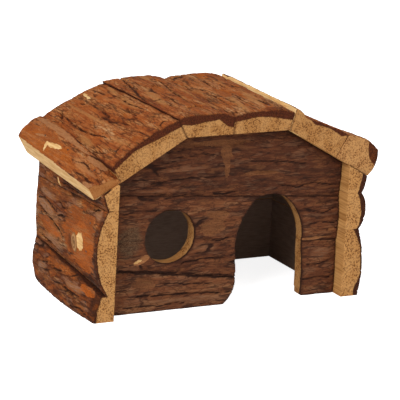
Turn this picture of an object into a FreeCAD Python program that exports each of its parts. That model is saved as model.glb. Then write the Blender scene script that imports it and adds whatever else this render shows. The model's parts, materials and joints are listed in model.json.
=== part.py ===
import FreeCAD, Part
import math
import os
from collections import namedtuple

import Sketcher

# A hamster house nailed together from slabs of round timber with the bark left on.
# Frame: +Z up, +Y to the back, X across. The origin is on the ground, in the middle of the footprint.
# Side walls are three stacked slabs whose grain runs front to back. The front and back walls are slabs
# whose grain runs across. Six planks make the arched roof: two flat crown planks, and two on each slope.

Vector = FreeCAD.Vector

HOUSE = {
    "inner_half": (103.0, "half the clear width between the side walls"),
    "wall_front": (-70.0, "front ends of the side walls"),
    "wall_back": (50.0, "back ends of the side walls, and inner face of the back wall"),
    "front_inside": (-46.0, "inner face of the front wall, which is set back between the side walls"),
    "back_half": (111.0, "half the width of the back wall, which is nailed over the side walls' ends"),
    "roof_front": (-68.0, "front ends of the roof planks"),
    "roof_back": (70.0, "back ends of the roof planks, which overhang the back wall"),
    "crown_half": (45.5, "half the width of the flat crown's underside"),
    "crown_under": (143.5, "height of the crown's underside"),
    "eave_half": (123.5, "half the width across the eaves' lower edges"),
    "eave_under": (99.0, "height of the eaves' lower edges"),
    "ground_trim": (3.0, "how far the bottom slabs reach below the ground before they are sawn flush"),
    "bark_bulge": (1.2, "how far the bark swells between its ridges"),
    "live_edge": (3.2, "how far the right eave plank's live edge bulges out"),
    "door_middle": (39.5, "centre line of the door"),
    "door_half": (31.0, "half the door's width"),
    "door_spring": (46.5, "height where the door's arch begins"),
    "door_top": (88.8, "top of the door's arch"),
    "door_haunch": (16.0, "half the width of the flatter arc over the door"),
    "door_haunch_up": (83.0, "height where that arc meets the arcs at the sides"),
    "door_flare": (8.0, "rounding of the door's left foot"),
    "door_swell": (2.5, "how far the door's left side stands in above that foot"),
    "door_flare_right": (1.5, "rounding of the door's right foot"),
    "door_lean": (1.6, "how far the door's right side leans out down to that foot"),
    "porthole_across": (-51.0, "centre of the porthole, across"),
    "porthole_up": (61.0, "centre of the porthole, above the ground"),
    "porthole_radius": (22.0, "radius of the porthole"),
    "brad_length": (30.0, "length of a brad"),
    "brad_radius": (0.6, "radius of a brad's shank"),
    "brad_head": (1.1, "radius of a brad's head"),
    "brad_cap": (0.6, "thickness of a brad's head"),
}

# Every slab is a loft through three sections, and each section's thickness is given at the slab's
# lower or left edge, at its belly and at its upper or right edge.

# Side walls: side is -1 for left and 1 for right, low and high are the bottom and top edges at the
# front and at the back. Without low the slab stands on the ground, and without high it is cut to the
# slope of the roof.
SideSlab = namedtuple("SideSlab", "side low high front middle back")
SIDE_SLABS = {
    "left_wall_slab_bottom": SideSlab(-1, None, (21, 37), (18.4, 15.8, 12), (18.6, 18.4, 12.5), (10.6, 16, 13.4)),
    "left_wall_slab_middle": SideSlab(-1, (21, 37), (89.5, 88), (7.5, 18.2, 9.4), (9, 17, 11), (13.2, 15, 13.4)),
    "left_wall_slab_top": SideSlab(-1, (89.5, 88), None, (9.4, 12.3, 14.5), (11, 14, 14), (13.4, 13.6, 13.8)),
    "right_wall_slab_bottom": SideSlab(1, None, (56.3, 50), (15.4, 18.4, 13.2), (14, 18, 13), (15, 17, 12)),
    "right_wall_slab_middle": SideSlab(1, (56.3, 50), (87, 84), (13.2, 18.6, 13.5), (12, 17.5, 12.5), (11.5, 18, 12)),
    "right_wall_slab_top": SideSlab(1, (87, 84), None, (13.5, 16.5, 17.6), (12.5, 15.5, 16), (12, 15, 15)),
}

# Seams of the front and back walls: height at the wall's left edge and at its right edge.
SEAMS = {
    "front_left": (37, 9.5),
    "front_right": (47, 46),
    "front_gable": (98, 81.7),
    "back_low": (44, 52),
    "back_high": (99, 92),
}

# Front and back walls: start and end are where the slab starts and ends across, below and above are
# its seams. None stands for the edge of the wall, for the ground, or for the underside of the roof.
CrossSlab = namedtuple("CrossSlab", "start end below above left middle right")
FRONT_SLABS = {
    "front_slab_bottom_left": CrossSlab(None, 13, None, "front_left",
                                        (10.5, 12.5, 10.5), (11, 13, 11), (10.5, 12.5, 10.5)),
    "front_slab_bottom_right": CrossSlab(69, None, None, "front_right",
                                         (10, 12.5, 10.5), (11, 13, 11), (11, 12.5, 10.5)),
    "front_slab_middle_left": CrossSlab(None, 39.5, "front_left", "front_gable",
                                        (10.5, 12.5, 11), (11, 13, 11), (10.5, 12.5, 10.5)),
    "front_slab_middle_right": CrossSlab(39.5, None, "front_right", "front_gable",
                                         (11, 12, 10.5), (11, 13, 11), (11, 12.5, 10.5)),
    "front_slab_top": CrossSlab(None, None, "front_gable", None,
                                (10.5, 12, 11), (11, 13, 11.5), (10.5, 12.5, 11)),
}
BACK_SLABS = {
    "back_slab_bottom": CrossSlab(None, None, None, "back_low",
                                  (11.5, 13.5, 10.5), (12, 14, 11), (11.5, 13.5, 11)),
    "back_slab_middle": CrossSlab(None, None, "back_low", "back_high",
                                  (10.5, 13.5, 11), (11, 14, 11.5), (11, 13.5, 10.5)),
    "back_slab_top": CrossSlab(None, None, "back_high", None,
                               (11, 13, 12), (12, 14, 12.5), (11, 13.5, 12)),
}

# Joints between the roof planks, at the front and at the back. On a slope they are measured along the
# underside from the break with the crown, which is negative to the left, and on the crown from its
# middle. The crown's own ends lie on the breaks.
ROOF_JOINTS = {
    "left_tip": (-90, -83.8),
    "left_joint": (-65, -59),
    "left_break": (0, 0),
    "crown_joint": (-4.5, 3),
    "right_break": (1, 9),
    "right_joint": (52.5, 52.5),
    "right_tip": (87.5, 87),
}

# lean says how a plank's two sawn sides stand: 0 is square, 0.5 the mitre that halves the slope, and 1
# the whole slope. ridge is where the bark's ridge lies across the plank, and section is where the middle
# section lies along it: the left eave plank is torn thin at its front end, so its section comes early.
Plank = namedtuple("Plank", "slope left right lean ridge section front middle back")
ROOF_PLANKS = {
    "roof_plank_left_eave": Plank("left", "left_tip", "left_joint", (0, 0), 0.45, 0.19,
                                  (12, 8, 4), (13, 14.5, 13.5), (17.2, 21.4, 20.6)),
    "roof_plank_left_slope": Plank("left", "left_joint", "left_break", (0, 0), 0.5, 0.5,
                                   (15, 19, 16.5), (16.5, 18, 16.8), (19.2, 18.9, 14.6)),
    "roof_plank_crown_left": Plank("crown", "crown_left", "crown_joint", (-1, 0), 0.68, 0.5,
                                   (15.5, 17.3, 14), (15.5, 16.9, 15), (14.2, 17.1, 13.4)),
    "roof_plank_crown_right": Plank("crown", "crown_joint", "crown_right", (0, 0.5), 0.55, 0.5,
                                    (14.5, 17.2, 14), (15, 16.8, 15), (13.3, 16, 12.5)),
    "roof_plank_right_slope": Plank("right", "right_break", "right_joint", (-0.5, 0), 0.22, 0.5,
                                    (18.2, 15.4, 20.8), (19, 15.8, 18.8), (19.4, 16.6, 18.5)),
    "roof_plank_right_eave": Plank("right", "right_joint", "right_tip", (0, -0.25), 0.45, 0.5,
                                   (21.4, 25.2, 22.6), (18.8, 21.9, 20.6), (18.5, 20.5, 17.5)),
}
COPED_PLANK = "roof_plank_crown_right"      # reaches over the break and a little down the slope
LIVE_EDGE_PLANK = "roof_plank_right_eave"   # keeps its round bark edge along the eave

# The deepest fissures of the bark. Each is a V that runs along the grain through points that say how
# far to the back it is and how far across or up, with its width and depth at its widest.
Fissure = namedtuple("Fissure", "width depth points")
FISSURES = {
    "left_wall_slab_bottom": [
        Fissure(2.4, 2.2, ((8, 13), (-10, 14.5), (-28, 13), (-42, 13.5))),
    ],
    "left_wall_slab_middle": [
        Fissure(3.4, 3.0, ((25, 61.5), (17, 60.5), (8, 58), (0, 55.5), (-7, 52))),
        Fissure(2.4, 2.0, ((44, 72), (34, 74), (25, 73), (14, 70), (6, 69))),
        Fissure(3.2, 2.6, ((5, 67), (-2, 69), (-9, 69.5))),
    ],
    "right_wall_slab_bottom": [
        Fissure(2.4, 2.2, ((44, 27), (20, 30), (-8, 27), (-36, 29))),
    ],
    "right_wall_slab_middle": [
        Fissure(2.4, 2.2, ((46, 69), (18, 72), (-12, 68), (-40, 70))),
    ],
    "back_slab_bottom": [
        Fissure(2.6, 2.2, ((-92, 20), (-50, 23), (-6, 20), (40, 24), (84, 22))),
    ],
    "back_slab_middle": [
        Fissure(2.8, 2.4, ((-84, 68), (-44, 71), (-4, 67), (24, 69))),
        Fissure(2.4, 2.0, ((18, 82), (52, 79), (88, 81))),
    ],
    "back_slab_top": [
        Fissure(2.6, 2.2, ((-52, 113), (-12, 115), (38, 112))),
    ],
    "roof_plank_left_eave": [
        Fissure(3.0, 2.2, ((-40, -84.5), (-50, -83.5), (-58, -84.5), (-65, -83.5))),
    ],
    "roof_plank_left_slope": [
        Fissure(2.4, 2.2, ((60, -24), (42, -26), (20, -26), (0, -28.5), (-30, -26.5), (-60, -28))),
        Fissure(2.8, 2.6, ((48, -48), (30, -50), (10, -51), (-10, -49), (-26, -46))),
        Fissure(2.4, 2.0, ((36, -9), (22, -7), (2, -9), (-20, -7))),
    ],
    "roof_plank_crown_left": [
        Fissure(2.4, 2.2, ((66, -38.5), (52, -40.5), (38, -42), (24, -43))),
        Fissure(2.4, 2.2, ((34, -14), (15, -19), (-5, -21), (-22, -23), (-40, -22), (-58, -22))),
        Fissure(2.2, 2.0, ((6, -33), (-10, -32), (-26, -35), (-38, -33))),
    ],
    "roof_plank_crown_right": [
        Fissure(2.4, 2.2, ((66, 25.5), (48, 25), (36, 24), (20, 21), (4, 22))),
        Fissure(2.4, 2.2, ((-14, 25), (-30, 22), (-44, 23), (-60, 22))),
        Fissure(2.2, 2.0, ((48, 9), (26, 7), (4, 9), (-24, 7), (-42, 4))),
    ],
    "roof_plank_right_slope": [
        Fissure(2.4, 2.2, ((60, 25), (30, 27), (0, 24), (-30, 28), (-60, 26))),
    ],
    "roof_plank_right_eave": [
        Fissure(2.4, 2.0, ((56, 80), (20, 81.5), (-16, 79.5), (-50, 81))),
    ],
}

SIDE_BRAD_HEIGHTS = {-1: (12, 54, 76, 101), 1: (16, 38, 62, 76, 96)}   # through a side wall into the front
BACK_BRAD_HEIGHTS = (14, 34, 60, 82, 102)                            # through the back wall
ROOF_BRAD_PLACES = {"left": (-52, -14), "crown": (-36, -14, 10, 34), "right": (14, 42)}  # into a gable
EAVE_BRAD_DEPTHS = (-50, -10, 30)                                    # through an eave plank


class Size:
    """A length with its value and the expression that ties it to the sheet."""

    def __init__(self, value, text):
        self.value = value
        self.text = text

    def joined(self, other, sign, value):
        return Size(value, "(%s %s %s)" % (self.text, sign, other.text))

    def __add__(self, other):
        other = as_size(other)
        return self.joined(other, "+", self.value + other.value)

    def __sub__(self, other):
        other = as_size(other)
        return self.joined(other, "-", self.value - other.value)

    def __mul__(self, other):
        other = as_size(other)
        return self.joined(other, "*", self.value * other.value)

    def __truediv__(self, other):
        other = as_size(other)
        return self.joined(other, "/", self.value / other.value)


def as_size(number):
    return number if isinstance(number, Size) else Size(float(number), "(%r)" % float(number))


doc = FreeCAD.newDocument("HamsterHouse")
sheet = doc.addObject("Spreadsheet::Sheet", "Sizes")
sizes = {}


def keep(alias, number, meaning):
    """Writes one driving dimension into the sheet and gives it back as a Size."""
    row = len(sizes) + 1
    sheet.set("A%d" % row, meaning)
    sheet.set("B%d" % row, "%g" % number)
    sheet.setAlias("B%d" % row, alias)
    sizes[alias] = Size(float(number), "Sizes.%s" % alias)
    return sizes[alias]


for alias, (number, meaning) in HOUSE.items():
    keep(alias, number, meaning)

fall = (sizes["crown_under"] - sizes["eave_under"]) / (sizes["eave_half"] - sizes["crown_half"])
half_mitre = Size(math.tan(math.atan(fall.value) / 2), "tan(atan(%s) / 2)" % fall.text)
slope_cos = Size(math.cos(math.atan(fall.value)), "cos(atan(%s))" % fall.text)
slope_sin = Size(math.sin(math.atan(fall.value)), "sin(atan(%s))" % fall.text)
roof_length = sizes["roof_back"] - sizes["roof_front"]


def under_roof(across):
    """Height of a slope's underside at a distance from the middle."""
    return sizes["crown_under"] - (across - sizes["crown_half"]) * fall


def midway(first, last, share=0.5):
    return first * (1 - share) + last * share


class Corner:
    """A corner of an outline. A bend is a point that the edge after the corner curves through."""

    def __init__(self, across, up, bend=None):
        self.across = as_size(across)
        self.up = as_size(up)
        self.bend = bend

    def vector(self):
        return Vector(self.across.value, self.up.value, 0)


def hold(sketch, geometry, point, across, up):
    """Ties a point of a sketch to the sheet."""
    for kind, size in (("DistanceX", across), ("DistanceY", up)):
        number = sketch.addConstraint(Sketcher.Constraint(kind, -1, 1, geometry, point, size.value))
        name = "%s%d_%d" % (kind, geometry, point)
        sketch.renameConstraint(number, name)
        sketch.setExpression("Constraints." + name, size.text)


def new_sketch(body, name, role, shift=None):
    """A sketch on one of the body's own origin planes, moved along the plane's normal."""
    sketch = body.newObject("Sketcher::SketchObject", name)
    plane = [feature for feature in body.Origin.OriginFeatures if feature.Role == role][0]
    sketch.AttachmentSupport = [(plane, "")]
    sketch.MapMode = "FlatFace"
    if shift is not None:
        sketch.AttachmentOffset = FreeCAD.Placement(Vector(0, 0, shift.value), FreeCAD.Rotation())
        sketch.setExpression(".AttachmentOffset.Base.z", shift.text)
    return sketch


def draw(sketch, corners):
    """Draws a closed outline of lines and three-point arcs through the corners."""
    ends = []
    for here, after in zip(corners, corners[1:] + corners[:1]):
        if here.bend is None:
            edge = sketch.addGeometry(Part.LineSegment(here.vector(), after.vector()))
        else:
            crown = Vector(here.bend[0].value, here.bend[1].value, 0)
            edge = sketch.addGeometry(Part.Arc(here.vector(), crown, after.vector()))
        first = 1 if (sketch.getPoint(edge, 1) - here.vector()).Length < 1e-6 else 2
        ends.append((edge, first, 3 - first))
        hold(sketch, edge, first, here.across, here.up)
        if here.bend is not None:
            mark = sketch.addGeometry(Part.Point(crown), True)
            sketch.addConstraint(Sketcher.Constraint("PointOnObject", mark, 1, edge))
            hold(sketch, mark, 1, here.bend[0], here.bend[1])
    for (edge, _, last), (following, first, _) in zip(ends, ends[1:] + ends[:1]):
        sketch.addConstraint(Sketcher.Constraint("Coincident", edge, last, following, first))


def loft(body, sketches):
    solid = body.newObject("PartDesign::AdditiveLoft", body.Name + "_loft")
    solid.Profile = (sketches[0], [""])
    solid.Sections = [(sketch, [""]) for sketch in sketches[1:]]
    body.Tip = solid
    return solid


def new_body(name):
    body = doc.addObject("PartDesign::Body", name)
    body.Label = name
    return body


def cut_through(body, name, corners):
    """Cuts an outline in the XZ plane through a body from front to back."""
    doc.recompute()
    before = body.Shape.Volume
    sketch = new_sketch(body, body.Name + "_" + name, "XZ_Plane")
    draw(sketch, corners)
    pocket = body.newObject("PartDesign::Pocket", body.Name + "_" + name + "_cut")
    pocket.Profile = (sketch, [""])
    pocket.SideType = "Symmetric"
    pocket.Type = "ThroughAll"
    body.Tip = pocket
    doc.recompute()
    if body.Shape.Volume > before - 1.0:
        raise RuntimeError("%s cuts nothing from %s" % (name, body.Name))


def triple(name, place, numbers):
    """Keeps the three thicknesses of one section of a slab."""
    spots = ("foot", "belly", "head")
    return [keep("%s_%s_%s" % (name, place, spot), number, "thickness of the %s, %s section" % (spot, place))
            for spot, number in zip(spots, numbers)]


def pair(name, edge, numbers):
    """Keeps where an edge of a slab lies at its front and at its back."""
    return [keep("%s_%s_%s" % (name, edge, place), number, "%s edge at the %s" % (edge, place))
            for place, number in zip(("front", "back"), numbers)]


# ---------------------------------------------------------------- side walls
def side_slab(name, slab):
    body = new_body(name)
    inside = sizes["inner_half"] * slab.side
    low = pair(name, "low", slab.low) if slab.low else [sizes["ground_trim"] * -1] * 2
    high = pair(name, "high", slab.high) if slab.high else None
    sketches = []
    for place, share in (("front", 0.0), ("middle", 0.5), ("back", 1.0)):
        foot, belly, head = triple(name, place, getattr(slab, place))
        bottom = midway(*low, share)
        if high:
            top_inside = top_outside = midway(*high, share)
        else:
            top_inside = under_roof(sizes["inner_half"])
            top_outside = under_roof(sizes["inner_half"] + head)
        # Depths grow to the back, and the plane's normal points to the front.
        depth = midway(sizes["wall_front"], sizes["wall_back"], share)
        sketch = new_sketch(body, "%s_%s" % (name, place), "XZ_Plane", depth * -1)
        draw(sketch, [
            Corner(inside, bottom),
            Corner(inside, top_inside),
            Corner(inside + head * slab.side, top_outside,
                   bend=(inside + belly * slab.side, midway(bottom, top_outside, 0.52))),
            Corner(inside + foot * slab.side, bottom),
        ])
        sketches.append(sketch)
    loft(body, sketches)
    return body


# ---------------------------------------------------------------- front and back walls
def door_outline():
    """The arched door, open at the ground, with rounded feet."""
    middle, half = sizes["door_middle"], sizes["door_half"]
    left, right = middle - half, middle + half
    spring, haunch_up = sizes["door_spring"], sizes["door_haunch_up"]
    haunch, top = sizes["door_haunch"], sizes["door_top"]
    flare, flare_right = sizes["door_flare"], sizes["door_flare_right"]
    swell, right_foot = sizes["door_swell"], right + sizes["door_lean"]
    shoulder = midway(spring, haunch_up, 0.56)
    return [
        Corner(left - flare, -2),
        Corner(left - flare, 0, bend=(left - swell * 0.24, spring * 0.205)),
        Corner(left + swell, spring / 2),
        Corner(left, spring, bend=(midway(left, middle - haunch, 0.25), shoulder)),
        Corner(middle - haunch, haunch_up, bend=(middle, top)),
        Corner(middle + haunch, haunch_up, bend=(midway(right, middle + haunch, 0.25), shoulder)),
        Corner(right, spring),
        Corner(right_foot, flare_right * 1.5, bend=(right_foot + flare_right * 0.2, flare_right * 0.5)),
        Corner(right_foot + flare_right * 0.8, 0),
        Corner(right_foot + flare_right * 0.8, -2),
    ]


def porthole_outline():
    across, up, radius = sizes["porthole_across"], sizes["porthole_up"], sizes["porthole_radius"]
    return [
        Corner(across - radius, up, bend=(across, up + radius)),
        Corner(across + radius, up, bend=(across, up - radius)),
    ]


def ground_outline():
    """Everything below the ground."""
    edge = sizes["eave_half"] + 10
    depth = (sizes["ground_trim"] + 5) * -1
    return [Corner(edge * -1, depth), Corner(edge * -1, 0), Corner(edge, 0), Corner(edge, depth)]


def above_slope_outline(side):
    """Everything above one slope's underside, with room to spare outside the wall."""
    crown, top = sizes["crown_half"], sizes["crown_under"]
    edge = sizes["back_half"] + 5
    return [
        Corner(crown * side, top),
        Corner(edge * side, under_roof(edge)),
        Corner(edge * side, top + 5),
        Corner(crown * side, top + 5),
    ]


def seam_height(seam, half_width, across):
    """Height of a seam of the front or back wall, at a place across the wall."""
    left, right = seams[seam]
    return left + (right - left) * (across + half_width) / (half_width * 2)


def cross_slab(name, inside, outward, half_width, slab):
    """A slab with its grain across. outward is -1 where its bark faces the front and 1 at the back."""
    body = new_body(name)
    start = half_width * -1 if slab.start is None else keep(name + "_start", slab.start, "start of the slab")
    end = half_width if slab.end is None else keep(name + "_end", slab.end, "end of the slab")
    sketches = []
    for place, share in (("left", 0.0), ("middle", 0.5), ("right", 1.0)):
        foot, belly, head = triple(name, place, getattr(slab, place))
        across = midway(start, end, share)
        low = seam_height(slab.below, half_width, across) if slab.below else sizes["ground_trim"] * -1
        high = seam_height(slab.above, half_width, across) if slab.above else sizes["crown_under"]
        sketch = new_sketch(body, "%s_%s" % (name, place), "YZ_Plane", across)
        draw(sketch, [
            Corner(inside, low),
            Corner(inside, high),
            Corner(inside + head * outward, high, bend=(inside + belly * outward, midway(low, high))),
            Corner(inside + foot * outward, low),
        ])
        sketches.append(sketch)
    loft(body, sketches)
    return body


# ---------------------------------------------------------------- roof
def roof_frame(body, slope):
    """Puts a body's frame on the break of its slope, with X along the underside to the right."""
    side = {"left": -1, "crown": 0, "right": 1}[slope]
    body.Placement = FreeCAD.Placement(Vector(), FreeCAD.Rotation(Vector(0, side or 1, 0), 0.0))
    if side:
        angle = math.degrees(math.atan(fall.value))
        body.Placement = FreeCAD.Placement(Vector(), FreeCAD.Rotation(Vector(0, side, 0), angle))
        body.setExpression("Placement.Rotation.Angle", "atan(%s)" % fall.text)
        body.setExpression("Placement.Base.x", (sizes["crown_half"] * side).text)
    body.setExpression("Placement.Base.z", sizes["crown_under"].text)


def slant(lean):
    """How far a sawn side leans to the right for each millimetre of height."""
    whole = {0: as_size(0), 0.25: half_mitre * 0.5, 0.5: half_mitre, 1: fall}[abs(lean)]
    return whole * math.copysign(1, lean)


def roof_plank(name, plank):
    body = new_body(name)
    roof_frame(body, plank.slope)
    lefts, rights = joints[plank.left], joints[plank.right]
    bulge = sizes["bark_bulge"]
    sketches = []
    for place, share in (("front", 0.0), ("middle", plank.section), ("back", 1.0)):
        left_thick, ridge_thick, right_thick = triple(name, place, getattr(plank, place))
        left, right = midway(*lefts, share), midway(*rights, share)
        left_top = left + left_thick * slant(plank.lean[0])
        right_top = right + right_thick * slant(plank.lean[1])
        corners = [Corner(left, 0), Corner(right, 0)]
        if name == COPED_PLANK:
            reach = midway(*joints["right_break"], share)
            corners.append(Corner(right + reach * slope_cos, reach * slope_sin * -1))
            right_top = right + reach * slope_cos + (right_thick + reach * slope_sin) * slant(plank.lean[1])
        if name == LIVE_EDGE_PLANK:
            corners[-1].bend = (midway(right, right_top) + sizes["live_edge"], right_thick * 0.45)
        ridge = midway(left_top, right_top, plank.ridge)
        corners += [
            Corner(right_top, right_thick,
                   bend=(midway(ridge, right_top), midway(ridge_thick, right_thick) + bulge)),
            Corner(ridge, ridge_thick,
                   bend=(midway(left_top, ridge), midway(left_thick, ridge_thick) + bulge)),
            Corner(left_top, left_thick),
        ]
        depth = sizes["roof_front"] + roof_length * share
        sketch = new_sketch(body, "%s_%s" % (name, place), "XZ_Plane", depth * -1)
        draw(sketch, corners)
        sketches.append(sketch)
    loft(body, sketches)
    return body


# ---------------------------------------------------------------- fissures of the bark
def bark_side(name):
    """The body's own axes that a fissure's points are measured in, and the way out through the bark."""
    if name.startswith("roof"):
        return "XZ_Plane", Vector(1, 0, 0), Vector(0, 1, 0), Vector(0, 0, 1)
    if name.startswith("back"):
        return "YZ_Plane", Vector(0, 0, 1), Vector(1, 0, 0), Vector(0, 1, 0)
    return "XZ_Plane", Vector(0, 0, 1), Vector(0, 1, 0), Vector(SIDE_SLABS[name].side, 0, 0)


def bark_surface(body, place, out):
    """The point of the bark over a place, in the body's own frame."""
    first, last = (body.Placement.multVec(place + out * reach) for reach in (200, 0))
    line = Part.LineSegment(first, last).toShape()
    hit = min(line.common(body.Shape).Vertexes, key=lambda vertex: (vertex.Point - first).Length)
    return body.Placement.inverse().multVec(hit.Point)


def kept_fissure(title, shape):
    """Keeps one fissure's width and depth, and how far along and across its points are."""
    points = [(keep("%s_along%d" % (title, place), along, "place of the fissure along the grain"),
               keep("%s_across%d" % (title, place), across, "place of the fissure across the grain"))
              for place, (along, across) in enumerate(shape.points)]
    return Fissure(keep(title + "_width", shape.width, "width of the fissure at the surface"),
                   keep(title + "_depth", shape.depth, "depth of the fissure"), points)


def cut_fissure(body, name, title, shape):
    """Cuts one fissure into the bark, shallow at its ends. Its bottom follows the surface it is cut in."""
    plane, across, along, out = bark_side(name)
    clear = 2.0
    sketches = []
    for place, (station, middle) in enumerate(shape.points):
        share = 0.12 if place in (0, len(shape.points) - 1) else 1.0
        surface = bark_surface(body, across * middle.value + along * station.value, out).dot(out)
        bottom = shape.depth * -share + surface
        top = as_size(surface + clear)
        half = shape.width * 0.5 * (shape.depth * share + clear) / shape.depth
        shift = station * -1 if plane == "XZ_Plane" else station
        sketch = new_sketch(body, "%s_%d" % (title, place), plane, shift)
        outline = [(middle - half, top), (middle + half, top), (middle, bottom)]
        if not name.startswith("roof"):
            facing = -1 if min(out) < 0 else 1
            outline = [(up * facing, over) for over, up in outline]
        draw(sketch, [Corner(*corner) for corner in outline])
        sketches.append(sketch)
    doc.recompute()
    before = body.Shape.Volume
    cut = body.newObject("PartDesign::SubtractiveLoft", title + "_cut")
    cut.Profile = (sketches[0], [""])
    cut.Sections = [(sketch, [""]) for sketch in sketches[1:]]
    cut.Ruled = True
    body.Tip = cut
    doc.recompute()
    if not before - 400 < body.Shape.Volume < before - 10:
        raise RuntimeError("%s takes %g from its timber" % (title, before - body.Shape.Volume))


# ---------------------------------------------------------------- the timber
timber = {}
seams = {}
for seam, (left, right) in SEAMS.items():
    seams[seam] = (keep("seam_%s_left" % seam, left, "height of the seam at the wall's left edge"),
                   keep("seam_%s_right" % seam, right, "height of the seam at the wall's right edge"))
for name, slab in SIDE_SLABS.items():
    timber[name] = side_slab(name, slab)
for name, slab in FRONT_SLABS.items():
    timber[name] = cross_slab(name, sizes["front_inside"], -1, sizes["inner_half"], slab)
for name, slab in BACK_SLABS.items():
    timber[name] = cross_slab(name, sizes["wall_back"], 1, sizes["back_half"], slab)
joints = {joint: pair(joint, "joint", places) for joint, places in ROOF_JOINTS.items()}
joints["crown_left"] = [sizes["crown_half"] * -1] * 2
joints["crown_right"] = [sizes["crown_half"]] * 2
fissures = {}
for name, shapes in FISSURES.items():
    for number, shape in enumerate(shapes, 1):
        title = "%s_fissure%d" % (name, number)
        fissures[name, title] = kept_fissure(title, shape)
for name, plank in ROOF_PLANKS.items():
    timber[name] = roof_plank(name, plank)

for name, body in timber.items():
    if "_slab_bottom" in name:
        cut_through(body, "ground", ground_outline())
for name in FRONT_SLABS:
    cut_through(timber[name], "door", door_outline())
cut_through(timber["front_slab_middle_left"], "porthole", porthole_outline())
for name in ("front_slab_top", "back_slab_top"):
    cut_through(timber[name], "slope_left", above_slope_outline(-1))
    cut_through(timber[name], "slope_right", above_slope_outline(1))

for (name, title), shape in fissures.items():
    cut_fissure(timber[name], name, title, shape)


# ---------------------------------------------------------------- brads
def brad():
    """One brad, head up at the origin, with its point below."""
    shank = Part.makeCylinder(sizes["brad_radius"].value, sizes["brad_length"].value - 2,
                              Vector(0, 0, 0), Vector(0, 0, -1))
    point = Part.makeCone(sizes["brad_radius"].value, 0.1, 2,
                          Vector(0, 0, 2 - sizes["brad_length"].value), Vector(0, 0, -1))
    head = Part.makeCylinder(sizes["brad_head"].value, sizes["brad_cap"].value,
                             Vector(0, 0, 0), Vector(0, 0, -1))
    return shank.fuse([point, head]).removeSplitter()


def driven(body, start, direction):
    """A brad driven into a timber from outside, with its head flush with the bark."""
    direction = Vector(direction).normalize()
    line = Part.LineSegment(start, start + direction * 60).toShape()
    surface = min(line.common(body.Shape).Vertexes, key=lambda vertex: (vertex.Point - start).Length).Point
    copy = brad()
    copy.Placement = FreeCAD.Placement(surface, FreeCAD.Rotation(Vector(0, 0, -1), direction))
    return copy


def slab_at(prefix, across, depth, up, direction):
    """The timber of a wall that a line from outside meets."""
    line = Part.LineSegment(Vector(across, depth, up), Vector(across, depth, up) + direction * 60).toShape()
    for name, body in timber.items():
        if name.startswith(prefix) and line.common(body.Shape).Length > 5:
            return body
    raise RuntimeError("no timber of %s at %g, %g, %g" % (prefix, across, depth, up))


brads = []
gable_depths = ((sizes["front_inside"].value - 6.0), (sizes["wall_back"].value + 6.0))
for side, heights in SIDE_BRAD_HEIGHTS.items():
    for height in heights:
        inward = Vector(-side, 0, 0)
        start = Vector(side * (sizes["inner_half"].value + 40), gable_depths[0], height)
        wall = slab_at("left_wall" if side < 0 else "right_wall", *start, inward)
        brads.append(driven(wall, start, inward))
for side in (-1, 1):
    for height in BACK_BRAD_HEIGHTS:
        start = Vector(side * (sizes["inner_half"].value + 5), sizes["wall_back"].value + 40, height)
        brads.append(driven(slab_at("back_slab", *start, Vector(0, -1, 0)), start, Vector(0, -1, 0)))
for name, plank in ROOF_PLANKS.items():
    body = timber[name]
    inward = body.Placement.Rotation.multVec(Vector(0, 0, -1))
    if name.endswith("eave"):
        # An eave plank is nailed into the top of the side wall that it lies on.
        side = -1 if plank.slope == "left" else 1
        reach = (sizes["inner_half"].value + 6.5 - sizes["crown_half"].value) / slope_cos.value
        places = [(side * reach, depth) for depth in EAVE_BRAD_DEPTHS]
    else:
        left = max(size.value for size in joints[plank.left]) + 4
        right = min(size.value for size in joints[plank.right]) - 4
        places = [(across, depth) for across in ROOF_BRAD_PLACES[plank.slope] for depth in gable_depths
                  if left < across < right]
    for across, depth in places:
        start = body.Placement.multVec(Vector(across, depth, 50))
        brads.append(driven(body, start, inward))
nails = doc.addObject("Part::Feature", "brads")
nails.Label = "brads"
nails.Shape = Part.makeCompound(brads)
nails.Placement = FreeCAD.Placement()
doc.recompute()

# ---------------------------------------------------------------- files
os.makedirs("parts", exist_ok=True)
for item in list(timber.values()) + [nails]:
    if "Invalid" in item.State or "Error" in item.State:
        raise RuntimeError("%s: %s" % (item.Label, item.State))
    if item.Shape.isNull() or not item.Shape.isValid():
        raise RuntimeError("%s has no valid shape" % item.Label)
    item.Shape.exportStep("parts/%s.step" % item.Label)
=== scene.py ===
import json
import math
from collections import namedtuple

import bmesh
import bpy
import numpy as np
from mathutils import Matrix, Vector
from mathutils.bvhtree import BVHTree
from mathutils.kdtree import KDTree

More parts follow.
